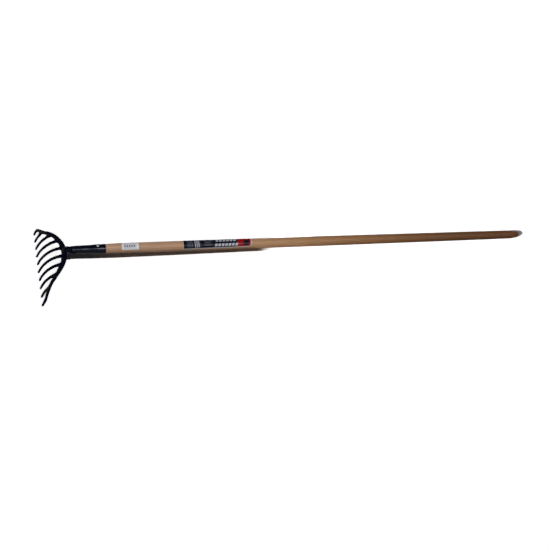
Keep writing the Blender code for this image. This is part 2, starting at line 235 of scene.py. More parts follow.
# %% Floor and sky
FLOOR_SIDE = 40.0
FLOOR_GREY = 0.58
FLOOR_SEEN = 2.60
FLOOR_ROUGHNESS = 0.9
SKY_DIM = 0.006
SKY_BRIGHT = 1.0
SKY_BAND = (0.22, 0.02)


def level_face(name, along, across, shift, material):
    """A level rectangle between two X and two Y, moved by the shift."""
    corners = [Vector((along[i], across[j], 0.0)) + shift for i, j in ((0, 0), (1, 0), (1, 1), (0, 1))]
    mesh = bpy.data.meshes.new(name)
    mesh.from_pydata(corners, [], [(0, 1, 2, 3)])
    mesh.materials.append(material)
    return add_object(name, mesh)


floor_paint, tree, shader = new_material("floor paint")
seen = add_node(tree, "ShaderNodeLightPath").outputs["Is Camera Ray"]
grey = mixed(tree, seen, colour(*[FLOOR_GREY] * 3), colour(*[FLOOR_SEEN] * 3))
feed(tree, shader, {"Base Color": grey, "Roughness": FLOOR_ROUGHNESS, "Specular IOR Level": 0.0})
sides = (-FLOOR_SIDE / 2, FLOOR_SIDE / 2)
floor = level_face("floor", sides, sides, Vector(), floor_paint)
floor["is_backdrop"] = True

sky = bpy.data.worlds.new("studio")
sky.use_nodes = True
tree = sky.node_tree
direction = add_node(tree, "ShaderNodeTexCoord").outputs["Generated"]
height = add_node(tree, "ShaderNodeSeparateXYZ", {0: direction}).outputs["Z"]
low_band = spread(tree, height, *SKY_BAND, smooth=True)
rays = add_node(tree, "ShaderNodeLightPath").outputs
mirrored = calc(tree, "MULTIPLY", rays["Is Glossy Ray"], low_band)
bright = calc(tree, "MAXIMUM", rays["Is Camera Ray"], mirrored)
strength = spread(tree, bright, 0.0, 1.0, SKY_DIM, SKY_BRIGHT)
feed(tree, tree.nodes["Background"], {"Strength": strength, "Color": colour(1.0, 1.0, 1.0)})
bpy.context.scene.world = sky
print("floor and sky ready")

# %% [markdown]
# ## Lamps for the rake
# The light stands high behind the camera. One sun would be simplest, but its reflection in enamel is a dot. A
# long low soft box gives the narrow highlight that runs along the socket. A broad lamp overhead rounds the
# wood off, and a weak one from behind keeps its far side from going black. Light linking keeps these three
# off the floor, which gets lamps of its own, so each can be set by what the photograph shows there.

# %% Lamps for the rake
KEY_STRENGTH = 1.90
KEY_AZIMUTH = CAMERA_YAW
KEY_ELEVATION = math.radians(36)
STRIP_DISTANCE = 10.0
STRIP_LENGTH = 3.6
STRIP_HEIGHT = 0.36
TOP_STRENGTH = 1.45
TOP_ELEVATION = math.radians(68)
BROAD = math.radians(60)
BACK_STRENGTH = 0.5
BACK_ELEVATION = math.radians(25)


def direction_to(azimuth, elevation):
    """The way to a lamp at an azimuth, measured from -Y towards +X, and an elevation."""
    level = math.cos(elevation)
    return Vector((level * math.sin(azimuth), -level * math.cos(azimuth), math.sin(elevation)))


def placed_lamp(name, lamp, towards, place):
    """A lamp at a place, turned so that its light comes from the direction given."""
    made = add_object(name, lamp)
    made.location = place
    made.rotation_euler = towards.to_track_quat("Z", "Y").to_euler()
    made.visible_camera = False
    return made


def sun_lamp(name, strength, spread_angle, azimuth, elevation):
    """A far round lamp. Its disc is as wide as the spread angle, which sets how soft its shadows are."""
    lamp = bpy.data.lights.new(name, "SUN")
    lamp.energy, lamp.angle = strength, spread_angle
    towards = direction_to(azimuth, elevation)
    return placed_lamp(name, lamp, towards, towards)


def light_group(name, member, state):
    """A collection for light linking with one object: INCLUDE means it alone, EXCLUDE everything but it."""
    made = bpy.data.collections.new(name)
    made.objects.link(member)
    made.collection_objects[0].light_linking.link_state = state
    return made


# The soft box needs its strength at the rake times pi and the distance squared as its power
soft_box = bpy.data.lights.new("key", "AREA")
soft_box.shape = "RECTANGLE"
soft_box.size, soft_box.size_y = STRIP_LENGTH, STRIP_HEIGHT
soft_box.energy = KEY_STRENGTH * math.pi * STRIP_DISTANCE**2
towards = direction_to(KEY_AZIMUTH, KEY_ELEVATION)
key = placed_lamp("key", soft_box, towards, towards * STRIP_DISTANCE)
top = sun_lamp("top", TOP_STRENGTH, BROAD, KEY_AZIMUTH, TOP_ELEVATION)
back = sun_lamp("back", BACK_STRENGTH, BROAD, KEY_AZIMUTH + math.pi, BACK_ELEVATION)
rake_only = light_group("all but the floor", floor, "EXCLUDE")
for lamp in (key, top, back):
    lamp.light_linking.receiver_collection = rake_only
for lamp in (top, back):
    lamp.visible_glossy = False
print("the rake's lamps:", key.name, top.name, back.name)

# %% [markdown]
# ## Lamps for the floor
# The handle's shadow shows only as a dark strip under its front half and as a small grey wedge behind the
# butt. One lamp would draw the strip all the way. Here a narrow sun throws it, and a flash left of the camera
# lights the rear half, where its own shadow hides behind the wood until it comes out as the wedge. A black
# card keeps the sun off there, or the twice lit floor would eat into the wood's edges. The sun is two lamps
# in one place, because the stronger one will pass through the head.

# %% Lamps for the floor
SUN_AZIMUTH = math.radians(16)
SUN_ELEVATION = math.radians(40.2)
SUN_SPREAD = math.radians(1.2)
HEAD_SHARE = 0.10
FLASH_PLACE = CAMERA_PLACE + Vector((-1.9, 0.0, 0.03))
FLASH_STRENGTH = 3.9
FLASH_SIZE = 0.004
FLASH_BLEND = 0.28
FLASH_MIDDLE = (402, 242)
FLASH_EDGE = (259, 248)


def floor_point(column, row):
    """The point of the floor that the camera sees at a pixel."""
    right, up, backward = camera_axes()
    across, down = ((value - PICTURE_SIDE / 2) / FOCAL_PIXELS for value in (column, row))
    towards = right * across - up * down - backward
    return CAMERA_PLACE - towards * (CAMERA_PLACE.z / towards.z)


sun_disc = (SUN_SPREAD, SUN_AZIMUTH, SUN_ELEVATION)
floor_key = sun_lamp("floor key", KEY_STRENGTH * (1 - HEAD_SHARE), *sun_disc)
head_key = sun_lamp("head's key", KEY_STRENGTH * HEAD_SHARE, *sun_disc)

# The flash lights a disc of the floor. The disc's middle and a point of its edge are given as pixels
to_middle, to_edge = (floor_point(*pixel) - FLASH_PLACE for pixel in (FLASH_MIDDLE, FLASH_EDGE))
spot = bpy.data.lights.new("flash", "SPOT")
spot.energy = FLASH_STRENGTH * 4 * math.pi * to_middle.length_squared
spot.spot_size = 2 * to_middle.angle(to_edge)
spot.spot_blend = FLASH_BLEND
spot.shadow_soft_size = FLASH_SIZE
flash = placed_lamp("flash", spot, -to_middle, FLASH_PLACE)

floor_only = light_group("the floor only", floor, "INCLUDE")
for lamp in (floor_key, head_key, flash):
    lamp.light_linking.receiver_collection = floor_only
print("the floor's lamps:", floor_key.name, head_key.name, flash.name)

# %% Black card in the sun's way
CARD_HEIGHT = 0.9
CARD_ALONG = (0.09, 0.785)
CARD_ACROSS = (-0.05, 0.12)

sunward = direction_to(SUN_AZIMUTH, SUN_ELEVATION)
card_black, tree, shader = new_material("black card")
feed(tree, shader, {"Base Color": colour(0.0, 0.0, 0.0)})
flag = level_face("flag", CARD_ALONG, CARD_ACROSS, sunward * (CARD_HEIGHT / sunward.z), card_black)
flag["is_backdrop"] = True
flag.visible_camera = flag.visible_diffuse = flag.visible_glossy = False
past_flag = light_group("all but the flag", flag, "EXCLUDE")
for lamp in (key, top, back, head_key, flash):
    lamp.light_linking.blocker_collection = past_flag
print("the card shades the floor between x =", CARD_ALONG, "and y =", CARD_ACROSS)

# %% [markdown]
# ## Surfaces from numpy
# Nearly every piece of the rake is a skin that two numbers sweep: how far along, and how far round. Such a
# skin is a grid of points in one array, and neighbouring points make the faces. Each row closes on itself,
# and the last row can be joined to the first. Where a row shrinks to one point, as at the butt, its points
# are merged, so that the skin is closed.


# %% A skin from a grid of points
MERGE = 1e-7
SHARP = math.radians(50)


def grid_faces(rows, columns, rows_close):
    """Corner numbers of every face between neighbouring rows and columns, as an array of fours."""
    steps = rows if rows_close else rows - 1
    row, column = np.meshgrid(np.arange(steps), np.arange(columns), indexing="ij")
    after, beside = (row + 1) % rows, (column + 1) % columns
    turns = ((row, column), (row, beside), (after, beside), (after, column))
    fours = np.stack([r * columns + c for r, c in turns], -1)
    return fours.reshape(-1, 4), row.ravel(), column.ravel()


def merge_points(mesh, distance):
    """Joins the corners that lie closer than the distance, and turns every face outwards."""
    bm = bmesh.new()
    bm.from_mesh(mesh)
    bmesh.ops.remove_doubles(bm, verts=bm.verts, dist=distance)
    bmesh.ops.recalc_face_normals(bm, faces=bm.faces)
    bm.to_mesh(mesh)
    bm.free()


def finish_piece(name, mesh, material, slot, *nodes):
    """Links the piece, gives it its finish, lets it stand for its solids and ride on the rake."""
    mesh.materials.clear()
    mesh.materials.append(material)
    piece = add_object(name, mesh)
    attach(piece, "root")
    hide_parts(*nodes)
    print(name, "has", len(mesh.polygons), "faces")
    return piece


def skin_mesh(name, points, rows_close=False, chart=None):
    """A closed skin over a grid of points. Its UV map is the chart, or the shares along rows and columns."""
    rows, columns = points.shape[:2]
    faces, row, column = grid_faces(rows, columns, rows_close)
    mesh = bpy.data.meshes.new(name)
    mesh.vertices.add(rows * columns)
    mesh.vertices.foreach_set("co", points.astype(np.float32).ravel())
    mesh.loops.add(faces.size)
    mesh.loops.foreach_set("vertex_index", faces.ravel().astype(np.int32))
    mesh.polygons.add(len(faces))
    mesh.polygons.foreach_set("loop_start", np.arange(0, faces.size, 4, dtype=np.int32))
    mesh.update(calc_edges=True)
    if chart is None:
        along = np.stack([row, row, row + 1, row + 1], -1) / (rows if rows_close else rows - 1)
        beside = np.stack([column, column + 1, column + 1, column], -1) / columns
        corners = np.stack([along, beside], -1)
    else:
        corners = chart.reshape(-1, 2)[faces]
    mesh.uv_layers.new(name="chart").data.foreach_set("uv", corners.astype(np.float32).ravel())
    merge_points(mesh, MERGE)
    mesh.shade_smooth()
    mesh.set_sharp_from_angle(angle=SHARP)
    return mesh


print("skins ready")

# %% [markdown]
# ## The line of the handle
# Socket, weld, rivet, handle and labels all stand round one sloping line. It could be typed in. Measuring it
# from the handle's solid is safer: the middle of its front face and the tip of its butt lie on it exactly.


# %% The line of the handle
FACE_DEPTH = 5e-5


def read_vectors(mesh, name="co"):
    """The places of a mesh's corners, or with "normal" their normals, as rows."""
    values = np.empty(len(mesh.vertices) * 3, np.float32)
    mesh.vertices.foreach_get(name, values)
    return values.reshape(-1, 3)


def node_points(node):
    """The corners of a solid, each place once."""
    return np.unique(read_vectors(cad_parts[node].data).round(6), axis=0).astype(float)


handle_points = node_points("handle")
rough_line = np.linalg.svd(handle_points - handle_points.mean(0), full_matrices=False)[2][0]
rough_line *= np.sign(rough_line[0])
reach = handle_points @ rough_line
front_middle = handle_points[reach < reach.min() + FACE_DEPTH].mean(0)
butt_tip = handle_points[reach.argmax()]
ALONG = (butt_tip - front_middle) / np.linalg.norm(butt_tip - front_middle)
NEAR = np.array((0.0, -1.0, 0.0))
UPWARD = np.cross(ALONG, -NEAR)
HANDLE_TILT = math.asin(-ALONG[2])


def on_line(along, radius, turn):
    """Points at a distance along the line and a radius from it, turned from the near side towards the top."""
    along, radius, turn = np.broadcast_arrays(along, radius, turn)
    out = np.cos(turn)[..., None] * NEAR + np.sin(turn)[..., None] * UPWARD
    return front_middle + along[..., None] * ALONG + radius[..., None] * out


def from_line(points):
    """The distance along the line, the radius from it and the turn round it, of points."""
    offset = points - front_middle
    along = offset @ ALONG
    near, up = offset @ NEAR, offset @ UPWARD
    return along, np.hypot(near, up), np.arctan2(up, near)


print("the handle falls by", round(math.degrees(HANDLE_TILT), 2), "degrees")

# %% [markdown]
# ## Finishes that several pieces share
# Three effects come back on more than one piece. Handling leaves faint marks on enamel, steel and film. Edges
# that stick out are rubbed, which the Pointiness of the surface finds. Both labels carry plain printed bars.
# Each effect is one node group, and each material places it with values of its own.

# %% Groups for handling marks and rubbed edges
tree, given, out = new_group("handling marks", ["Mask"], Place=None, Size=40.0, Amount=0.5)
blots = noise(tree, given["Place"], given["Size"], detail=4.0, roughness=0.62)
clear = spread(tree, blots, 0.42, 0.72, smooth=True)
feed(tree, out, {"Mask": calc(tree, "MULTIPLY", clear, given["Amount"])})
marks_group = tree

tree, given, out = new_group("rubbed edges", ["Mask"], Place=None, Size=120.0, Start=0.52, End=0.60)
pointed = add_node(tree, "ShaderNodeNewGeometry").outputs["Pointiness"]
patchy = noise(tree, given["Place"], given["Size"], detail=3.0)
shifted = calc(tree, "ADD", pointed, swing(tree, patchy, 0.06))
feed(tree, out, {"Mask": spread(tree, shifted, given["Start"], given["End"])})
edge_group = tree
print("groups:", marks_group.name, "and", edge_group.name)

# %% Group for printed bars
tree, given, out = new_group(
    "printed bars", ["Mask"], Chart=None, Left=0.1, Right=0.9, Low=0.1, High=0.9, Count=1.0, Inked=1.0,
    Slant=0.0, Blur=0.004,
)
parts = add_node(tree, "ShaderNodeSeparateXYZ", {0: given["Chart"]}).outputs
leaning = calc(tree, "ADD", parts["X"], calc(tree, "MULTIPLY", parts["Y"], given["Slant"]))


def window(tree, value, low, high, blur):
    """1 between two edges and 0 outside them. Each edge is a ramp as wide as the blur."""
    gaps = calc(tree, "SUBTRACT", value, low), calc(tree, "SUBTRACT", high, value)
    ramps = [calc(tree, "ADD", calc(tree, "DIVIDE", gap, blur), 0.5, clamp=True) for gap in gaps]
    return calc(tree, "MULTIPLY", *ramps)


inside = window(tree, leaning, given["Left"], given["Right"], given["Blur"])
between = window(tree, parts["Y"], given["Low"], given["High"], given["Blur"])
passed = calc(tree, "SUBTRACT", leaning, given["Left"])
width = calc(tree, "SUBTRACT", given["Right"], given["Left"])
counted = calc(tree, "MULTIPLY", calc(tree, "DIVIDE", passed, width), given["Count"])
inked = calc(tree, "LESS_THAN", calc(tree, "FRACT", counted), given["Inked"])
feed(tree, out, {"Mask": calc(tree, "MULTIPLY", inside, between, inked)})
bar_group = tree
print("group:", bar_group.name)

# %% [markdown]
# ## Near-black enamel
# Head, socket and weld are dipped or sprayed in one thin navy-black enamel. A plain glossy black would do
# from afar. Close up the real coat has three things more: an orange-peel skin, a dull film of handling marks,
# and steel that shows where edges are rubbed, most of all at the tine tips, which scrape the soil.

# %% Near-black enamel
ENAMEL = colour(0.0010, 0.0016, 0.0062)
ENAMEL_WORN = colour(0.0080, 0.0085, 0.0110)
ENAMEL_DUST = colour(0.0050, 0.0054, 0.0080)
ENAMEL_SHEEN = colour(0.80, 0.83, 1.00)
PEEL_SIZE = 420.0
FORGE_SIZE = 90.0


def enamel(name, forging, gloss, shine):
    """Enamel over unevenly forged steel. Gloss is the least roughness and shine the specular level."""
    material, tree, shader = new_material(name)
    place = object_place(tree)
    marks = use_group(tree, marks_group, Place=place, Size=55.0, Amount=0.35)["Mask"]
    edges = use_group(tree, edge_group, Place=place, Size=160.0, Start=0.545, End=0.62)["Mask"]
    dusty = mixed(tree, marks, ENAMEL, ENAMEL_DUST)
    worn = mixed(tree, calc(tree, "MULTIPLY", edges, 0.55), dusty, ENAMEL_WORN)
    dulled = spread(tree, marks, 0.0, 0.35, gloss, gloss + 0.05)
    peel = noise(tree, place, PEEL_SIZE)
    forged = noise(tree, place, FORGE_SIZE, detail=1.0)
    skin = calc(tree, "ADD", calc(tree, "MULTIPLY", peel, 0.04), calc(tree, "MULTIPLY", forged, forging))
    feed(tree, shader, {
        "Base Color": worn,
        "Roughness": calc(tree, "ADD", dulled, calc(tree, "MULTIPLY", edges, 0.10)),
        "Specular IOR Level": shine,
        "Specular Tint": ENAMEL_SHEEN,
        "Normal": bumped(tree, skin, 0.35, 0.0004),
    })
    return material


head_enamel = enamel("enamel on the head", 0.6, gloss=0.36, shine=0.05)
socket_enamel = enamel("enamel on the socket", 0.10, gloss=0.21, shine=0.38)
print("enamel ready")

# %% [markdown]
# ## The forged head
# One steel plate is cut to a bow with ten tines, pressed round a former and drawn out into a neck. Its solid
# has the right shape, but with flat steps round the bend and crisp arrises. It could be smoothed as it is,
# which would also round the bends away. Unrolled from its former the plate is flat. A voxel remesh gives it
# even faces there, a smoothing softens the arrises as forging and enamel do, numpy adds the unevenness of
# hammered steel, and rolling it up again gives a bend without any steps.

# %% Unroll the head from its former
FORMER_RADIUS = 0.080
FORMER_LEAN = math.radians(67.7)
TIPS_LINE = -0.7418
FORMER_X = TIPS_LINE + FORMER_RADIUS * math.sin(FORMER_LEAN)
FORMER_Z = -FORMER_RADIUS * math.cos(FORMER_LEAN)
VOXEL = 0.00070
COAT = 0.00045
ROOT_TURNS = 40
SOLID_MERGE = 1e-6


def unrolled(points):
    """Distance round the former from its top, the same Y, and the height over the former's surface."""
    x, z = points[:, 0] - FORMER_X, points[:, 2] - FORMER_Z
    return np.stack([FORMER_RADIUS * np.arctan2(x, z), points[:, 1], np.hypot(x, z) - FORMER_RADIUS], -1)


def rolled(points):
    """The way back: the angle is the distance over the former's radius, and the height adds to the radius."""
    turn, radius = points[:, 0] / FORMER_RADIUS, FORMER_RADIUS + points[:, 2]
    return np.stack([FORMER_X + radius * np.sin(turn), points[:, 1], FORMER_Z + radius * np.cos(turn)], -1)


def mesh_points(mesh):
    """The places of a mesh's corners, in full precision."""
    return read_vectors(mesh).astype(float)


def set_points(mesh, points):
    """Moves a mesh's corners to new places."""
    mesh.vertices.foreach_set("co", points.astype(np.float32).ravel())
    mesh.update()


head_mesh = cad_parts["tine_head"].data.copy()
merge_points(head_mesh, SOLID_MERGE)
set_points(head_mesh, unrolled(mesh_points(head_mesh)))
print("head unrolled,", len(head_mesh.vertices), "corners")


# %% Soften a mesh, and keep it in its box
EASE = 0.50
EASE_BACK = -0.52


def towards_neighbours(points, links, share):
    """Each point moved by a share of the way to the mean of its neighbours."""
    ends, others = links.ravel(), links[:, ::-1].ravel()
    count = np.bincount(ends, minlength=len(points))
    sums = [np.bincount(ends, weights=points[others, axis], minlength=len(points)) for axis in range(3)]
    return points + share * (np.stack(sums, -1) / count[:, None] - points)


def softened(points, links, turns):
    """Smoothed without shrinking: each turn eases the points inwards and then slightly more back outwards."""
    for _ in range(turns):
        points = towards_neighbours(points, links, EASE)
        points = towards_neighbours(points, links, EASE_BACK)
    return points


def into_box(points, node):
    """The points pressed back into their solid's box: the width is scaled, the rest is held."""
    low, high = (np.array(corner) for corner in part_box(node))
    points[:, 1] *= min(1.0, high[1] / np.abs(points[:, 1]).max())
    return np.clip(points, low, high)


def eased(value, low, high):
    """0 below low, 1 above high and a smooth S between them."""
    t = np.clip((value - low) / (high - low), 0, 1)
    return t * t * (3 - 2 * t)


print("meshes can be softened")


# %% Even faces, soft arrises and the hammered unevenness
# A relief's wavelength, depth and seed
HAMMERED = (0.011, 0.00010, 3)
PITTED = (0.0045, 0.00002, 4)
WAVES = 14
SMOOTH_TURNS = 12
# Where the longer smoothing of the neck's root fades: before and behind the former's top, and to both sides
ROOT_FRONT = (-0.010, -0.002)
ROOT_REAR = (0.017, 0.022)
ROOT_SIDE = (0.016, 0.024)


def ripple(points, wavelength, depth, seed):
    """A gentle random relief: a sum of sine waves in random directions with random starts."""
    random = np.random.default_rng(seed)
    directions = random.normal(size=(WAVES, 3))
    directions /= np.linalg.norm(directions, axis=1)[:, None]
    lengths = wavelength * random.uniform(0.7, 1.5, WAVES)
    starts = random.uniform(0, 2 * math.pi, WAVES)
    phases = points @ (directions / lengths[:, None]).T * 2 * math.pi + starts
    return depth * np.sin(phases).sum(axis=1) / math.sqrt(WAVES)


flat_head = add_object("flat_head", head_mesh)
remesh = flat_head.modifiers.new("even faces", "REMESH")
remesh.mode = "VOXEL"
remesh.voxel_size = VOXEL
bpy.context.view_layer.update()
evaluated = flat_head.evaluated_get(bpy.context.evaluated_depsgraph_get())
head_skin = bpy.data.meshes.new_from_object(evaluated)
bpy.data.objects.remove(flat_head)

links = np.empty(len(head_skin.edges) * 2, np.int32)
head_skin.edges.foreach_get("vertices", links)
links = links.reshape(-1, 2)
flat_points = softened(mesh_points(head_skin), links, SMOOTH_TURNS)
behind, beside = flat_points[:, 0], np.abs(flat_points[:, 1])
root = eased(behind, *ROOT_FRONT) * (1 - eased(behind, *ROOT_REAR)) * (1 - eased(beside, *ROOT_SIDE))
for _ in range(ROOT_TURNS):
    flat_points = towards_neighbours(flat_points, links, EASE * root[:, None])
set_points(head_skin, flat_points)
relief = COAT + ripple(flat_points, *HAMMERED) + ripple(flat_points, *PITTED)
raised = flat_points + read_vectors(head_skin, "normal") * relief[:, None]
set_points(head_skin, into_box(rolled(raised), "tine_head"))
head_skin.shade_smooth()
rake_head = finish_piece("rake_head", head_skin, head_enamel, "black_enamel", "tine_head")

# %% [markdown]
# The photograph shows the strip under the handle and next to no shadow of the tines. A stronger fill would
# lose both. Instead the stronger of the floor's two suns is told that the head doesn't block it, so the head
# keeps only the faint shadow that the other one throws.

# %% Let the head cast a faint shadow only
floor_key.light_linking.blocker_collection = light_group("all but the head", rake_head, "EXCLUDE")
print("the floor's stronger sun passes through", rake_head.name)

# %% [markdown]
# ## The socket
# The socket is a steel tube, drawn down over the neck at its front and open at its mouth, where the handle
# goes in. It could be a solidified cylinder. A profile turned round the line gives its true taper and the
# rounds of its front and mouth. The profile is read from the solid's own rings and made smooth.


# %% Read the rings of a turned solid
RING_DEPTH = 4e-5
RING_CORNERS = 20


def rings_of(node):
    """Distance and radius of the full rings of a turned solid, the widest at each place."""
    along, radius, _ = from_line(node_points(node))
    order = np.argsort(along)
    along, radius = along[order], radius[order]
    starts = np.flatnonzero(np.diff(along, prepend=along[0] - 1) > RING_DEPTH)
    ends = np.append(starts[1:], len(along))
    full = ends - starts >= RING_CORNERS
    return np.stack([along[starts[full]], np.maximum.reduceat(radius, starts)[full]], -1)


def smooth_through(stations, at):
    """A curve through (distance, value) rows, read at other distances. Slopes come from the neighbours."""
    distance, value = stations.T
    slope = np.gradient(value, distance)
    i = np.clip(np.searchsorted(distance, at) - 1, 0, len(distance) - 2)
    span = distance[i + 1] - distance[i]
    t = (at - distance[i]) / span
    before = (1 + 2 * t) * (1 - t) ** 2 * value[i] + t * (1 - t) ** 2 * span * slope[i]
    after = t**2 * (3 - 2 * t) * value[i + 1] + t**2 * (t - 1) * span * slope[i + 1]
    return before + after


socket_wall = rings_of("socket")
SOCKET_FRONT, SOCKET_MOUTH = socket_wall[0, 0], socket_wall[-1, 0]
# The tube only widens towards its mouth, so a ring narrower than one before it belongs to the bore
socket_wall = socket_wall[socket_wall[:, 1] >= np.maximum.accumulate(socket_wall[:, 1])]
socket_wall[-1, 0] = SOCKET_MOUTH
print("socket from", round(SOCKET_FRONT * 1000, 1), "to", round(SOCKET_MOUTH * 1000, 1), "mm along the line")
print("its rings (mm):", (socket_wall * 1000).round(2).tolist())

# %% Turn the socket
SOCKET_SIDES = 112
SOCKET_STATIONS = 90
TUBE_WALL = 0.0016
FRONT_ROUND = 0.00075
MOUTH_ROUND = 0.0005
DRAWN_WAVES = (0.020, 0.00002, 8)


def quarter(middle_along, middle_radius, size, first, last, steps=7):
    """Points on an arc of the profile round a middle, from the first angle to the last."""
    angle = np.linspace(first, last, steps)
    return np.stack([middle_along + size * np.cos(angle), middle_radius + size * np.sin(angle)], -1)


def socket_radius(along):
    """Outer radius of the socket, smooth through its rings."""
    return smooth_through(socket_wall, along)


def turn_profile(profile, sides):
    """The profile of (distance, radius) carried round the line: a full turn in equal steps."""
    turn = np.arange(sides) * 2 * math.pi / sides
    return on_line(profile[:, :1], profile[:, 1:], turn[None, :])


wall = np.linspace(SOCKET_FRONT + FRONT_ROUND, SOCKET_MOUTH - MOUTH_ROUND, SOCKET_STATIONS)
front_radius, mouth_radius = socket_radius(wall[0]), socket_radius(wall[-1])
socket_profile = np.concatenate([
    quarter(wall[0], front_radius - FRONT_ROUND, FRONT_ROUND, 1.5 * math.pi, 0.5 * math.pi, 11)[:-1],
    np.stack([wall, socket_radius(wall)], -1)[:-1],
    quarter(wall[-1], mouth_radius - MOUTH_ROUND, MOUTH_ROUND, 0.5 * math.pi, 0.0),
    np.stack([wall, socket_radius(wall) - TUBE_WALL], -1)[:3:-8],
])
socket_points = turn_profile(socket_profile, SOCKET_SIDES)
socket_mesh = skin_mesh("socket_tube", socket_points, rows_close=True)
drawn = mesh_points(socket_mesh)
drawn = drawn + ripple(drawn, *DRAWN_WAVES)[:, None] * read_vectors(socket_mesh, "normal")
set_points(socket_mesh, drawn)
finish_piece("socket_tube", socket_mesh, socket_enamel, "black_enamel", "socket")

# %% [markdown]
# ## The weld
# A bead of weld joins the neck to the socket. Its ripples are the frozen edges of the melt, and it sags
# below. A torus with noise would look like dough. Here the bead's height is a half wave across it, thicker
# towards the bottom, and the ripples are a cosine round it whose crests bend back into crescents.

# %% Lay the weld bead
NECK_RADIUS = 0.00925
BEAD_FORWARD = 0.0100
BEAD_BACK = 0.0045
BEAD_RUN = 0.0115
BEAD_SUNK = 0.0003
BEAD_HEIGHT = 0.0007
BEAD_SAG = 0.0021
BEAD_RIPPLES = 15
BEAD_RIPPLE = 0.00010
BEAD_CRESCENT = 2.2
BEAD_SIDES = 240
BEAD_STATIONS = 34

across = np.linspace(0, 1, BEAD_STATIONS)[:, None]
turn = np.arange(BEAD_SIDES)[None, :] * 2 * math.pi / BEAD_SIDES
below = (1 - np.sin(turn)) / 2
crown = np.sin(math.pi * across) ** 0.75
bead_along = SOCKET_FRONT - BEAD_FORWARD + (BEAD_FORWARD + BEAD_BACK + BEAD_RUN * below**3) * across
climb = np.clip((bead_along - SOCKET_FRONT + BEAD_FORWARD) / BEAD_FORWARD, 0, 1)
socket_side = socket_radius(np.maximum(bead_along, SOCKET_FRONT))
carried = NECK_RADIUS + (socket_side - NECK_RADIUS) * climb**2 * (3 - 2 * climb)
waves = np.cos(BEAD_RIPPLES * turn + BEAD_CRESCENT * crown) * crown * BEAD_RIPPLE
bead_radius = carried - BEAD_SUNK + (BEAD_SUNK + BEAD_HEIGHT + BEAD_SAG * below**2) * crown + waves
hidden_radius = np.full((2, BEAD_SIDES), NECK_RADIUS - 3 * BEAD_SUNK)
bead_along = np.concatenate([bead_along, bead_along[[-1, 0]]])
bead_points = on_line(bead_along, np.concatenate([bead_radius, hidden_radius]), turn)
bead_mesh = skin_mesh("weld_bead", bead_points, rows_close=True)
bead_enamel = enamel("enamel on the weld", 0.3, gloss=0.28, shine=0.16)
finish_piece("weld_bead", bead_mesh, bead_enamel, "black_enamel", "neck_weld")

# %% [markdown]
# ## The rivet
# One steel rivet goes through socket and handle. Its heads are bright because it is set last. A flattened
# sphere would float over the round socket. Here each head is a dome whose skirt runs down to the socket's own
# curve, and one profile carries dome, skirt, shank and the other dome without a break.

# %% Dulled rivet steel
STEEL = colour(0.66, 0.66, 0.68)
STEEL_DULL = colour(0.44, 0.43, 0.43)
STEEL_RUBBED = colour(0.74, 0.74, 0.75)

steel, tree, shader = new_material("dulled rivet steel")
place = object_place(tree)
marks = use_group(tree, marks_group, Place=place, Size=900.0, Amount=0.8)["Mask"]
edges = use_group(tree, edge_group, Place=place, Size=700.0, Start=0.54, End=0.62)["Mask"]
dents = noise(tree, place, 1500.0, detail=3.0)
feed(tree, shader, {
    "Base Color": mixed(tree, edges, mixed(tree, marks, STEEL, STEEL_DULL), STEEL_RUBBED),
    "Metallic": 0.6,
    "Roughness": spread(tree, marks, 0.0, 0.8, 0.50, 0.62),
    "Normal": bumped(tree, dents, 0.3, 0.0001),
})
print("steel ready")

# %% Set the rivet
RIVET_ALONG = 0.0565
RIVET_TURN = math.radians(73)
RIVET_RADIUS = 0.0037
RIVET_RISE = 0.0020
RIVET_DOME = math.radians(72)
RIVET_SHANK = 0.00225
RIVET_SUNK = 0.0001
RIVET_SIDES = 72
DOME_ROWS = 16

pin = math.cos(RIVET_TURN) * NEAR + math.sin(RIVET_TURN) * UPWARD
sideways = np.cross(pin, ALONG)
seat = float(socket_radius(RIVET_ALONG))
angle = np.linspace(0, RIVET_DOME, DOME_ROWS)
dome_reach = RIVET_RADIUS * np.sin(angle) / math.sin(RIVET_DOME)
dome_height = seat + RIVET_RISE * np.cos(angle)
round_it = np.arange(RIVET_SIDES)[None, :] * 2 * math.pi / RIVET_SIDES

# Skirt and shank start on the socket's surface, which falls away round the pin as a chord of its section
reach = np.concatenate([dome_reach, [RIVET_RADIUS, RIVET_SHANK]])[:, None]
seated = np.sqrt(seat**2 - (reach[DOME_ROWS:] * np.sin(round_it)) ** 2) - RIVET_SUNK
height = np.concatenate([dome_height[:, None] + 0 * round_it, seated])
reach = np.concatenate([reach, reach[::-1]])
height = np.concatenate([height, -height[::-1]])
rivet_points = (
    front_middle + RIVET_ALONG * ALONG
    + (reach * np.cos(round_it))[..., None] * ALONG
    + (reach * np.sin(round_it))[..., None] * sideways
    + height[..., None] * pin
)
finish_piece("rivet_pin", skin_mesh("rivet_pin", rivet_points), steel, "bare_steel", "rivet")

# %% [markdown]
# ## Timber
# The handle is turned from one straight board, under a thin satin varnish. Wood isn't a picture on the
# surface: it is made of rings round the pith of a tree, and turning cuts through them. So the figure is
# worked out in space. The pith lies outside the handle, and the rings drift across it towards the middle of
# its length, where the real handle shows slanting lines. Fine streaks and pores follow the same grain.

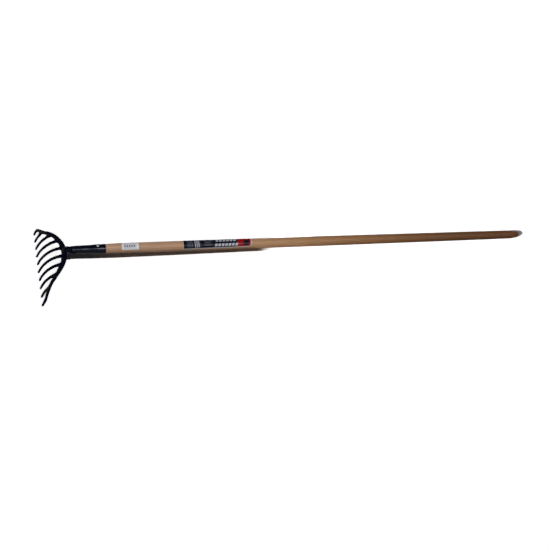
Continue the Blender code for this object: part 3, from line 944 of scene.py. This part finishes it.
# %% Group for the figure of the wood
tree, given, out = new_group(
    "timber figure", ["Ring", "Ring Tone", "Streak", "Pores"], Place=None, Ring_Width=0.005, Pith_Side=0.05,
    Pith_Below=0.03, Drift=0.05, Drift_Start=0.4, Drift_End=1.0, Wander=0.004,
)
axes = add_node(tree, "ShaderNodeSeparateXYZ", {0: given["Place"]}).outputs
drift = spread(tree, axes["X"], given["Drift Start"], given["Drift End"], 0.0, given["Drift"], smooth=True)
slow = noise(tree, times(tree, given["Place"], (3.5, 22.0, 22.0)), 1.0)
quick = noise(tree, times(tree, given["Place"], (14.0, 60.0, 60.0)), 1.0, detail=1.0)
bend = calc(tree, "ADD", calc(tree, "SUBTRACT", slow, 0.5), swing(tree, quick, 0.22))
sway = calc(tree, "MULTIPLY", bend, given["Wander"])
side = calc(tree, "ADD", axes["Y"], given["Pith Side"], sway)
over = calc(tree, "ADD", axes["Z"], given["Pith Below"], drift, sway)
squares = [calc(tree, "MULTIPLY", value, value) for value in (side, over)]
from_pith = calc(tree, "SQRT", calc(tree, "ADD", *squares))
cycle = calc(tree, "DIVIDE", from_pith, given["Ring Width"])
part = calc(tree, "FRACT", cycle)
late = calc(tree, "MULTIPLY", spread(tree, part, 0.45, 0.90, smooth=True), spread(tree, part, 1.0, 0.93))
year = add_node(tree, "ShaderNodeTexWhiteNoise", {"W": calc(tree, "FLOOR", cycle)}, noise_dimensions="1D")
grain = add_node(tree, "ShaderNodeCombineXYZ", {"X": axes["X"], "Y": side, "Z": over}).outputs[0]
streak = noise(tree, times(tree, grain, (7.0, 620.0, 620.0)), 1.0, detail=3.0, roughness=0.6)
pores = noise(tree, times(tree, grain, (60.0, 3200.0, 3200.0)), 1.0)
pores = spread(tree, pores, 0.56, 0.68, smooth=True)
feed(tree, out, {"Ring": late, "Ring Tone": year.outputs["Value"], "Streak": streak, "Pores": pores})
timber_group = tree
print("group:", timber_group.name)

# %% Varnished wood
LINE_START = float(front_middle @ ALONG)
LINE_HEIGHT = float(front_middle @ UPWARD)
HANDLE_SPAN = 1.372
# The wood's colour at shares of the handle's length. Its darkening towards the butt is painted light falloff.
WOOD_TONES_AND_PAINTED_FALLOFF = (
    (0.02, colour(0.385, 0.235, 0.155)),
    (0.36, colour(0.350, 0.200, 0.108)),
    (0.48, colour(0.305, 0.165, 0.078)),
    (0.60, colour(0.225, 0.112, 0.048)),
    (0.72, colour(0.150, 0.070, 0.028)),
    (0.84, colour(0.105, 0.046, 0.017)),
    (1.00, colour(0.098, 0.040, 0.016)),
)
# How much each part of the figure brightens the wood at its least and at its most
FIGURE_SHADES = (
    ("Ring", 1.06, 0.74), ("Ring Tone", 1.05, 0.95), ("Streak", 1.30, 0.72), ("Pores", 1.0, 0.72),
)

wood, tree, shader = new_material("varnished wood")
place = object_place(tree, turn=(0.0, -HANDLE_TILT, 0.0), shift=(-LINE_START, 0.0, -LINE_HEIGHT))
figure = use_group(
    tree, timber_group, Place=place, Ring_Width=0.0052, Pith_Side=0.055, Pith_Below=0.035,
    Drift=0.060, Drift_Start=0.46, Drift_End=1.02, Wander=0.006,
)
marks = use_group(tree, marks_group, Place=place, Size=26.0, Amount=0.5)["Mask"]
distance = add_node(tree, "ShaderNodeSeparateXYZ", {0: place}).outputs["X"]
# This ramp paints the light falling off towards the butt into the wood's colour.
ramp = add_node(tree, "ShaderNodeValToRGB", {"Fac": spread(tree, distance, 0.0, HANDLE_SPAN)})
stops = ramp.color_ramp.elements
stops[0].position, stops[0].color = WOOD_TONES_AND_PAINTED_FALLOFF[0]
stops[-1].position, stops[-1].color = WOOD_TONES_AND_PAINTED_FALLOFF[-1]
for position, tone in WOOD_TONES_AND_PAINTED_FALLOFF[1:-1]:
    stops.new(position).color = tone
board = ramp.outputs["Color"]
for name, low, high in FIGURE_SHADES:
    board = times(tree, board, spread(tree, figure[name], 0.0, 1.0, low, high))
hollows = calc(tree, "SUBTRACT", calc(tree, "MULTIPLY", figure["Streak"], 0.4), figure["Pores"])
feed(tree, shader, {
    "Base Color": times(tree, board, spread(tree, marks, 0.0, 1.0, 1.0, 0.90)),
    "Roughness": spread(tree, figure["Streak"], 0.3, 0.7, 0.38, 0.52),
    "Specular IOR Level": 0.14,
    "Normal": bumped(tree, hollows, 0.35, 0.0001),
})
print("wood ready")

# %% [markdown]
# ## The turned handle
# The handle swells behind the socket, tapers along its length and ends in a long rounded butt. It could be a
# cylinder with edge loops. A profile turned round the line keeps the exact taper of the solid, and its sharp
# shoulder against the mouth of the socket, which a subdivided cylinder would round away.

# %% Turn the handle
HANDLE_SIDES = 112
HANDLE_STATIONS = 420
SEAT_STATIONS = 12
BUTT_ROWS = 40
BUTT_LENGTH = 0.036
BUTT_FULLNESS = 0.8
SHOULDER_BEVEL = 0.0004

handle_rings = rings_of("handle")
shoulder = np.flatnonzero(handle_rings[:, 0] > SOCKET_MOUTH)[0]
seat_rings, grip_rings = handle_rings[:shoulder], handle_rings[shoulder:]
HANDLE_END = float((butt_tip - front_middle) @ ALONG)
BODY_END = HANDLE_END - BUTT_LENGTH
body_rings = grip_rings[grip_rings[:, 0] < BODY_END + FACE_DEPTH]


def grip_radius(along):
    """Radius of the handle behind the socket, smooth through the rings of its solid."""
    return smooth_through(body_rings, along)


inside_socket = np.linspace(0, SOCKET_MOUTH, SEAT_STATIONS)
seat_radius = np.interp(inside_socket, *seat_rings.T)
body = np.linspace(grip_rings[0, 0] + SHOULDER_BEVEL, BODY_END, HANDLE_STATIONS)
butt = np.linspace(0, math.pi / 2, BUTT_ROWS)[1:]
end_radius = float(grip_radius(BODY_END))
handle_profile = np.concatenate([
    [(0.0, 0.0)],
    np.stack([inside_socket, seat_radius], -1),
    [(grip_rings[0, 0], seat_radius[-1]), (grip_rings[0, 0], float(grip_radius(body[0])) - SHOULDER_BEVEL)],
    np.stack([body, grip_radius(body)], -1),
    np.stack([BODY_END + BUTT_LENGTH * np.sin(butt), end_radius * np.cos(butt).clip(0) ** BUTT_FULLNESS], -1),
])
handle_profile[-1, 1] = 0.0
handle_points = turn_profile(handle_profile, HANDLE_SIDES)
# The butt rests on the floor, so nothing of it may reach below
handle_points[..., 2] = handle_points[..., 2].clip(0)
finish_piece("wooden_handle", skin_mesh("wooden_handle", handle_points), wood, "ash_wood", "handle")
print("body from", round(body[0] * 1000, 1), "to", round(BODY_END * 1000, 1), "mm")

# %% [markdown]
# ## Two labels
# A small white sticker and a long dark film stick to the handle. A plane with a Shrinkwrap would follow the
# wood, but its thickness and edges would need more steps. Here a label is a thin closed skin between two
# angles round the line, a film's thickness over the wood, which fades to nothing at its rim. Both carry plain
# bars. The sticker's corner has begun to lift, and the film's far end is rounded.


# %% Wrap a label on the handle
RIM_ALONG, RIM_ACROSS = 0.006, 0.02
CURL_ALONG, CURL_ACROSS = 0.72, 0.62


def crowded(count, pull=0.35):
    """Shares from 0 to 1 that lie closer together towards both ends."""
    t = np.linspace(0, 1, count)
    return t - pull * np.sin(2 * math.pi * t) / (2 * math.pi)


def label_mesh(name, node, thickness, end_round=0.0, lift=0.0, lean=(0.0, 0.0), rows=70, half_columns=40):
    """A label over its solid: the wood's radius plus a thickness, between the solid's ends and angles.

    Columns go over the outside and come back beneath it. The far end draws in by end_round towards both long
    edges, and one corner lifts by lift. A label that is stuck on askew is turned round the wood by the first
    angle of lean at its near end and by the second at its far end.
    """
    along, _, turn = from_line(node_points(node))
    turn = np.where(turn < -math.pi / 2, turn + 2 * math.pi, turn)
    down = crowded(rows)[:, None]
    share = crowded(half_columns)
    share = np.concatenate([share, share[::-1]])[None, :]
    outside = np.arange(share.size)[None, :] < half_columns
    inset = end_round * (1 - np.sqrt(1 - (2 * share - 1) ** 4))
    place = along.min() + (along.max() - along.min() - inset) * down
    angle = turn.min() + (turn.max() - turn.min()) * share - (lean[0] + (lean[1] - lean[0]) * down)
    rim_along = eased(np.minimum(down, 1 - down), 0, RIM_ALONG)
    rim = np.minimum(rim_along, eased(np.minimum(share, 1 - share), 0, RIM_ACROSS))
    curl = lift * eased(down, CURL_ALONG, 1.0) * eased(1 - share, CURL_ACROSS, 1.0)
    radius = grip_radius(place) + curl + np.where(outside, thickness * rim, -thickness * 0.2 * rim)
    chart = np.stack(np.broadcast_arrays(down, share), -1)
    return skin_mesh(name, on_line(place, radius, angle), chart=chart)


def printed_bars(tree, chart, blur, rows):
    """All the bars of a list of settings in one mask."""
    printed = 0.0
    for values in rows:
        bar = use_group(tree, bar_group, Chart=chart, Blur=blur, **values)["Mask"]
        printed = calc(tree, "MAXIMUM", printed, bar)
    return printed


print("labels can be wrapped and printed")

# %% White paper sticker
PAPER = colour(0.49, 0.49, 0.545)
PAPER_SOILED = colour(0.40, 0.39, 0.42)
PAPER_EDGE = colour(0.55, 0.56, 0.60)
PAPER_INK = colour(0.04, 0.04, 0.055)

paper, tree, shader = new_material("sticker paper")
place = object_place(tree)
chart = add_node(tree, "ShaderNodeUVMap", uv_map="chart").outputs[0]
marks = use_group(tree, marks_group, Place=place, Size=130.0, Amount=0.8)["Mask"]
fibres = noise(tree, place, 2400.0, detail=3.0)
bars = (
    dict(Left=0.14, Right=0.84, Low=0.34, High=0.56, Count=5.0, Inked=0.62),
    dict(Left=0.14, Right=0.86, Low=0.66, High=0.70, Count=3.0, Inked=0.85),
    dict(Left=0.14, Right=0.60, Low=0.22, High=0.25),
)
printed = calc(tree, "MULTIPLY", printed_bars(tree, chart, 0.02, bars), 0.92)
inner = use_group(tree, bar_group, Chart=chart, Left=0.09, Right=0.90, Low=0.10, High=0.88, Blur=0.03)["Mask"]
ground = mixed(tree, inner, PAPER_EDGE, mixed(tree, marks, PAPER, PAPER_SOILED))
feed(tree, shader, {
    "Base Color": mixed(tree, printed, ground, PAPER_INK),
    "Roughness": spread(tree, fibres, 0.3, 0.7, 0.50, 0.62),
    "Specular IOR Level": 0.3,
    "Normal": bumped(tree, fibres, 0.15, 0.0001),
})
sticker_mesh = label_mesh("paper_sticker", "price_label", 0.00035, lift=0.0006)
finish_piece("paper_sticker", sticker_mesh, paper, "white_label", "price_label")

# %% Dark film label
FILM = colour(0.0025, 0.0036, 0.0105)
FILM_SCUFFED = colour(0.0060, 0.0070, 0.0140)
FILM_PALE = colour(0.34, 0.35, 0.38)
FILM_GREY = colour(0.10, 0.105, 0.125)
FILM_RED = colour(0.200, 0.0030, 0.0045)
FILM_LEAN = (math.radians(13), math.radians(6))
FILM_BLUR = 0.006

film, tree, shader = new_material("film label")
place = object_place(tree)
chart = add_node(tree, "ShaderNodeUVMap", uv_map="chart").outputs[0]
marks = use_group(tree, marks_group, Place=place, Size=75.0, Amount=0.7)["Mask"]
thin_bars = (
    dict(Left=0.07, Right=0.155, Low=0.12, High=0.62, Count=4.0, Inked=0.34, Slant=0.02),
    dict(Left=0.31, Right=0.42, Low=0.20, High=0.24),
    dict(Left=0.31, Right=0.40, Low=0.34, High=0.38),
    dict(Left=0.31, Right=0.42, Low=0.48, High=0.52),
)
bold_bars = (
    dict(Left=0.175, Right=0.255, Low=0.10, High=0.60, Count=3.0, Inked=0.45, Slant=0.02),
    dict(Left=0.45, Right=0.80, Low=0.12, High=0.28, Count=7.0, Inked=0.74, Slant=-0.05),
    dict(Left=0.45, Right=0.76, Low=0.42, High=0.56, Count=6.0, Inked=0.70, Slant=-0.05),
)
dark_blocks = (dict(Left=0.865, Right=0.945, Low=0.12, High=0.44, Slant=-0.05),)

end = dict(Left=0.76, Right=1.2, Low=-0.1, High=1.1, Slant=-0.06)
red_end = use_group(tree, bar_group, Chart=chart, **end)["Mask"]
inner = use_group(tree, bar_group, Chart=chart, Left=0.007, Right=0.985, Low=0.055, High=0.96)["Mask"]
ground = mixed(tree, marks, FILM, FILM_SCUFFED)
ground = mixed(tree, red_end, ground, FILM_RED)
for rows, ink in ((thin_bars, FILM_GREY), (bold_bars, FILM_PALE), (dark_blocks, FILM)):
    ground = mixed(tree, printed_bars(tree, chart, FILM_BLUR, rows), ground, ink)
creases = noise(tree, times(tree, place, (60.0, 300.0, 300.0)), 1.0)
feed(tree, shader, {
    "Base Color": mixed(tree, inner, FILM_PALE, ground),
    "Roughness": spread(tree, marks, 0.0, 0.7, 0.34, 0.50),
    "Specular IOR Level": 0.08,
    "Normal": bumped(tree, creases, 0.2, 0.0002),
})
shape = dict(end_round=0.010, lean=FILM_LEAN, rows=220, half_columns=60)
film_mesh = label_mesh("film_label", "handle_label", 0.0003, **shape)
finish_piece("film_label", film_mesh, film, "navy_label", "handle_label")

# %% [markdown]
# ## Sizes and the end
# The dressed rake has to keep the size of its solids, so both boxes are written down side by side.

# %% Write the sizes and finish
dressed_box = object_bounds()
for name, box in (("cad box", cad_box), ("dressed box", dressed_box)):
    print(name, [tuple(round(v, 4) for v in c) for c in box])
